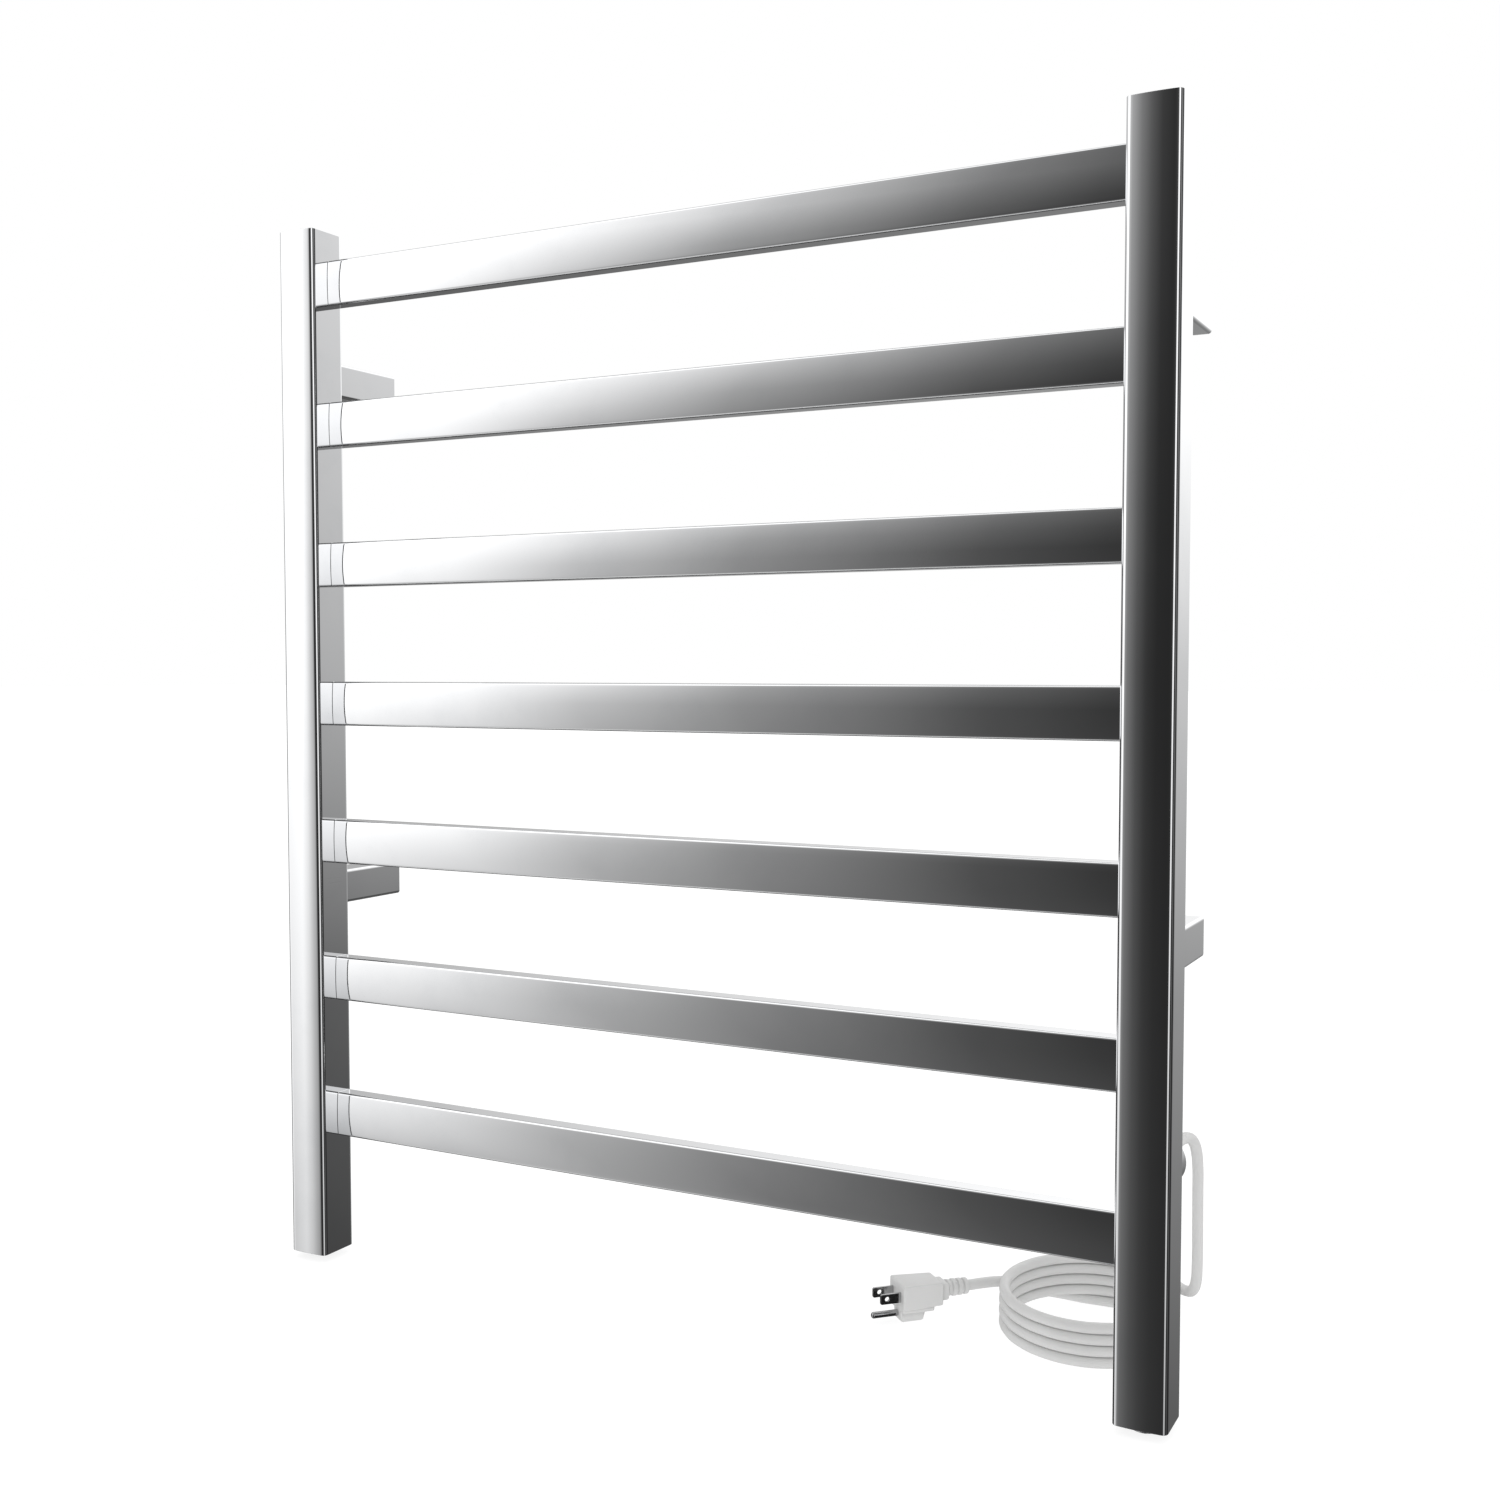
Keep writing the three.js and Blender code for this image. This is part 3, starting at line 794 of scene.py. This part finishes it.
RELIEF_LENGTH = 15 * MM
BODY_START = RELIEF_LENGTH + 0.3 * MM
BODY_LENGTH = 33 * MM
BODY_WIDTH = 24 * MM
BLADE_OFFSET = 6.35 * MM
GROUND_DROP = 11.9 * MM
BLADE_LENGTH = 13.5 * MM
BLADE_WIDTH = 6.4 * MM
BLADE_THICKNESS = 1.5 * MM
BLADE_HOLE = 1.6 * MM
BLADE_HOLE_FROM_TIP = 4.5 * MM
PIN_LENGTH = 16.8 * MM
PIN_RADIUS = 2 * MM
BODY_FACE = BODY_START + BODY_LENGTH
CONTACT_ROOT = 1 * MM                 # how deep a contact starts inside the body
CONTACT_EXTRA = 1.3 * MM              # added to a contact for that root and the gap at the face


def to_plug(bm):
    """From the plug's own frame, +X out through the blades, to where it lies."""
    return move_to(bm, PLUG_BACK, (PLUG_HEADING, "Z"))


def make_plug_relief():
    """Ribbed relief: three thick rings, then a smooth neck into the plug's body."""
    ring_width = 2.9 * MM
    slot_width = 1.1 * MM
    outline = [(0, 0), (CORD_RADIUS + 0.3 * MM, 0)]
    for ring in range(3):
        start = 0.4 * MM + ring * (ring_width + slot_width)
        crest = (5.1 + 0.15 * ring) * MM
        root = (4.0 + 0.2 * ring) * MM
        outline.append((root, start))
        outline += fillet(crest - 0.5 * MM, start + 0.55 * MM, 0.5 * MM, -80, 0, 3)
        outline += fillet(crest - 0.5 * MM, start + ring_width - 0.55 * MM, 0.5 * MM, 0, 80, 3)
        outline.append((root, start + ring_width))
    outline += [
        (4.7 * MM, RELIEF_LENGTH - 2.6 * MM), (5.2 * MM, RELIEF_LENGTH - 1.8 * MM),
        (5.2 * MM, RELIEF_LENGTH), (0, RELIEF_LENGTH),
    ]
    bm = to_plug(move_to(turned(outline, 40), (0, 0, 0), (math.pi / 2, "Y")))
    return make_piece(
        "plug_relief_ribbed", bm, WHITE_VINYL, replaced=["plug_strain_relief"],
        weighted=False,
    )


def moulded_block(low, high, radius):
    """A box between two corners with every edge rounded."""
    low, high = Vector(low), Vector(high)
    bm = block(high - low)
    bmesh.ops.translate(bm, vec=(low + high) / 2, verts=bm.verts)
    round_edges(bm, list(bm.edges), radius, 4)
    return bm


def make_plug_body():
    """Moulded body: a slab, a stepped neck behind it, and a lobe below for the ground pin."""
    half = BODY_WIDTH / 2
    slab_start = 5.5 * MM
    taper_end = 9 * MM
    slab = moulded_block((slab_start, -half, -7.6 * MM), (BODY_LENGTH, half, 8 * MM), 1.3 * MM)
    for vert in slab.verts:
        if vert.co.x < taper_end:
            vert.co.y *= 0.88
            vert.co.z *= 0.92

    neck_half = 7.4 * MM
    neck = moulded_block((0, -neck_half, -5.3 * MM), (8 * MM, neck_half, 5.4 * MM), 1.5 * MM)

    lobe_half = 6.6 * MM
    lobe_low = -GROUND_DROP - 4.6 * MM
    lobe_end = BODY_LENGTH - 0.4 * MM
    lobe = moulded_block((13 * MM, -lobe_half, lobe_low), (lobe_end, lobe_half, 0), 1.8 * MM)
    for vert in lobe.verts:
        if vert.co.x < 16 * MM and vert.co.z < lobe_low / 2:
            vert.co.x += 4 * MM

    step_half = 9.5 * MM
    step_end = BODY_LENGTH - 0.2 * MM
    step = moulded_block((11 * MM, -step_half, -10.2 * MM), (step_end, step_half, 0), 1.2 * MM)

    bm = combine(slab, [neck, step, lobe], "UNION")
    bmesh.ops.translate(bm, vec=(BODY_START, 0, 0), verts=bm.verts)
    return make_piece(
        "plug_body_shell", to_plug(bm), WHITE_VINYL, replaced=["plug_body"]
    )


def make_blade(node, offset):
    """Flat contact with a chamfered tip and a hole near it."""
    start = BODY_FACE - CONTACT_ROOT
    length = BLADE_LENGTH + CONTACT_EXTRA
    bm = block((length, BLADE_THICKNESS, BLADE_WIDTH))
    tip = [
        edge for edge in bm.edges
        if all(vert.co.x > 0 for vert in edge.verts)
        and abs(edge.verts[0].co.z - edge.verts[1].co.z) < 1e-6
    ]
    round_edges(bm, tip, 1.1 * MM, 3)
    round_edges(bm, [edge for edge in bm.edges if edge.calc_face_angle() > 0.8], 0.2 * MM, 2)
    bmesh.ops.translate(bm, vec=(start + length / 2, offset, 0), verts=bm.verts)
    hole_place = (start + length - BLADE_HOLE_FROM_TIP, offset, 0)
    hole = round_cutter(hole_place, BLADE_HOLE, 6 * MM, (math.pi / 2, "X"), sides=28)
    bm = combine(bm, [hole])
    return make_piece(f"{node}_stamped", to_plug(bm), NICKEL, replaced=[node])


def make_ground_pin():
    """Round contact with a rounded tip."""
    start = BODY_FACE - CONTACT_ROOT
    length = PIN_LENGTH + CONTACT_EXTRA
    tip = 1.4 * MM
    outline = [(0, 0), (PIN_RADIUS, 0)]
    outline += fillet(PIN_RADIUS - tip, length - tip, tip, 0, 80, 6)
    outline.append((0, length))
    bm = move_to(turned(outline, 32), (start, 0, -GROUND_DROP), (math.pi / 2, "Y"))
    return make_piece(
        "plug_ground_pin_round", to_plug(bm), NICKEL, replaced=["plug_ground_pin"]
    )


plug_pieces = [
    make_plug_relief(),
    make_plug_body(),
    make_blade("plug_blade_live", BLADE_OFFSET),
    make_blade("plug_blade_neutral", -BLADE_OFFSET),
    make_ground_pin(),
]


# ---- materials of the CAD nodes that stay ---------------------------------------------------------

def finish_node(name, material):
    """Gives a CAD node that stays in view its material."""
    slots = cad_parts[name].material_slots
    for slot in slots:
        slot.material = material


finishes = {"right_bottom_cap": CHROME, "switch_nut": ZINC, "gland_nut": BRASS}
finishes.update({name: DARK_PLASTIC for name in ("switch_core", "terminal_block")})
finishes.update({name: DARK_PLASTIC for name in ("live_riser", "neutral_riser")})
finishes.update({name: BRASS for name in ("thermal_cutout", "ground_screw")})
finishes.update({f"heater_{row}": HEATER_STEEL for row in range(1, 8)})
for place in ("upper_left", "upper_right", "lower_left", "lower_right"):
    finishes[f"bracket_bolt_{place}"] = ZINC
for name, material in finishes.items():
    finish_node(name, material)


# ---- floor and light ------------------------------------------------------------------------------

FLOOR_REACH = 30
FLOOR_GLOW = 0.85
FLOOR_SHADE = (0.25, 0.25, 0.25, 1)


def make_floor():
    """White surface under the coil. It is clear from below, so the rack's underside can be seen."""
    bm = bmesh.new()
    bmesh.ops.create_grid(bm, x_segments=2, y_segments=2, size=FLOOR_REACH)
    bmesh.ops.translate(bm, vec=(0, 0, floor_height), verts=bm.verts)
    mesh = bpy.data.meshes.new("studio_floor")
    bm.to_mesh(mesh)
    bm.free()
    floor = bpy.data.objects.new("studio_floor", mesh)
    scene.collection.objects.link(floor)
    material = new_material("pale_floor")
    shader = principled(material)
    shader.inputs["Base Color"].default_value = FLOOR_SHADE
    shader.inputs["Roughness"].default_value = 1.0
    shader.inputs["Specular IOR Level"].default_value = 0.0
    shader.inputs["Emission Color"].default_value = (1, 1, 1, 1)
    shader.inputs["Emission Strength"].default_value = FLOOR_GLOW
    tree = material.node_tree
    facing_away = tree.nodes.new("ShaderNodeNewGeometry").outputs["Backfacing"]
    tree.links.new(maths(tree, "SUBTRACT", 1.0, facing_away), shader.inputs["Alpha"])
    mesh.materials.append(material)
    floor.visible_glossy = False


def light_ramp(tree, position, stops):
    """Brightness by compass angle: stops are (degrees, brightness)."""
    node = tree.nodes.new("ShaderNodeValToRGB")
    ramp = node.color_ramp
    ramp.interpolation = "LINEAR"
    while len(ramp.elements) < len(stops):
        ramp.elements.new(0.5)
    for element, (angle, value) in zip(ramp.elements, stops):
        element.position = 0.5 + angle / 360
        element.color = (value, value, value, 1)
    tree.links.new(position, node.inputs["Fac"])
    return node.outputs["Color"]


# Brightness round the studio. Each row: a compass angle (0 is straight in front of the rack,
# positive angles turn to its left, 180 is behind it) and the brightness at each of the heights.
LIGHT_HEIGHTS = (-24, -11, 0, 8, 20)
LIGHT_ROWS = [
    (-180, 0.11, 0.28, 0.62, 1.08, 1.35),
    (-167, 0.11, 0.30, 0.60, 1.08, 1.35),
    (-138, 0.03, 0.11, 0.45, 0.60, 0.8),
    (-130, 0.02, 0.03, 0.05, 0.06, 0.08),
    (-99, 0.02, 0.02, 0.03, 0.04, 0.06),
    (-93, 0.10, 0.14, 0.20, 0.24, 0.30),
    (-87, 0.10, 0.14, 0.20, 0.24, 0.30),
    (-81, 0.02, 0.02, 0.03, 0.04, 0.06),
    (-62, 0.02, 0.02, 0.03, 0.04, 0.06),
    (-56, 0.5, 0.8, 1.0, 1.1, 1.2),
    (-36, 0.5, 0.8, 1.0, 1.1, 1.2),
    (-30, 0.03, 0.03, 0.04, 0.06, 0.1),
    (4, 0.028, 0.023, 0.021, 0.023, 0.03),
    (10, 0.035, 0.028, 0.023, 0.028, 0.05),
    (15, 0.05, 0.04, 0.036, 0.055, 0.11),
    (20, 0.08, 0.08, 0.085, 0.13, 0.22),
    (28, 0.18, 0.24, 0.28, 0.36, 0.58),
    (34, 0.34, 0.45, 0.58, 0.78, 0.98),
    (38, 0.48, 0.74, 1.0, 1.15, 1.25),
    (43, 0.58, 0.98, 1.25, 1.3, 1.3),
    (53, 0.46, 0.86, 1.2, 1.3, 1.3),
    (60, 0.8, 1.0, 1.1, 1.2, 1.2),
    (76, 0.8, 1.0, 1.1, 1.2, 1.2),
    (82, 0.03, 0.03, 0.04, 0.3, 0.9),
    (87, 0.10, 0.14, 0.22, 0.36, 0.7),
    (93, 0.10, 0.14, 0.22, 0.36, 0.7),
    (99, 0.03, 0.03, 0.04, 0.3, 0.6),
    (125, 0.03, 0.03, 0.06, 0.3, 0.6),
    (141, 0.04, 0.13, 0.36, 0.5, 0.6),
    (160, 0.08, 0.26, 0.55, 0.85, 1.05),
    (180, 0.11, 0.28, 0.62, 1.08, 1.35),
]


def make_light():
    """Studio light: plain white behind, soft on matt surfaces, and panels that the chrome mirrors."""
    world = bpy.data.worlds.new("studio")
    scene.world = world
    world.use_nodes = True
    tree = world.node_tree
    tree.nodes.clear()
    direction = add_node(tree, "ShaderNodeSeparateXYZ")
    tree.links.new(tree.nodes.new("ShaderNodeTexCoord").outputs["Generated"], direction.inputs[0])
    x, y, z = direction.outputs
    compass = maths(tree, "ARCTAN2", maths(tree, "MULTIPLY", x, -1.0), maths(tree, "MULTIPLY", y, -1.0))
    position = maths(tree, "MULTIPLY_ADD", compass, 1 / math.tau, 0.5)
    height = maths(tree, "ARCSINE", z)
    mirrored = None
    for level, degrees in enumerate(LIGHT_HEIGHTS):
        ring = light_ramp(tree, position, [(row[0], row[level + 1]) for row in LIGHT_ROWS])
        if mirrored is not None:
            lower = math.radians(LIGHT_HEIGHTS[level - 1])
            share = spread_between(tree, height, lower, math.radians(degrees), 0.0, 1.0)
            ring = mix_colours(tree, share, mirrored, ring)
        mirrored = ring

    soft = spread_between(tree, z, -0.6, 0.9, 0.92, 1.06)
    path = tree.nodes.new("ShaderNodeLightPath")
    studio = mix_colours(tree, path.outputs["Is Diffuse Ray"], mirrored, soft)
    backdrop = mix_colours(tree, path.outputs["Is Camera Ray"], studio, (1.0, 1.0, 1.0))
    background = tree.nodes.new("ShaderNodeBackground")
    tree.links.new(backdrop, background.inputs["Color"])
    output = tree.nodes.new("ShaderNodeOutputWorld")
    tree.links.new(background.outputs[0], output.inputs["Surface"])


make_floor()
make_light()
scene.view_settings.view_transform = "Standard"
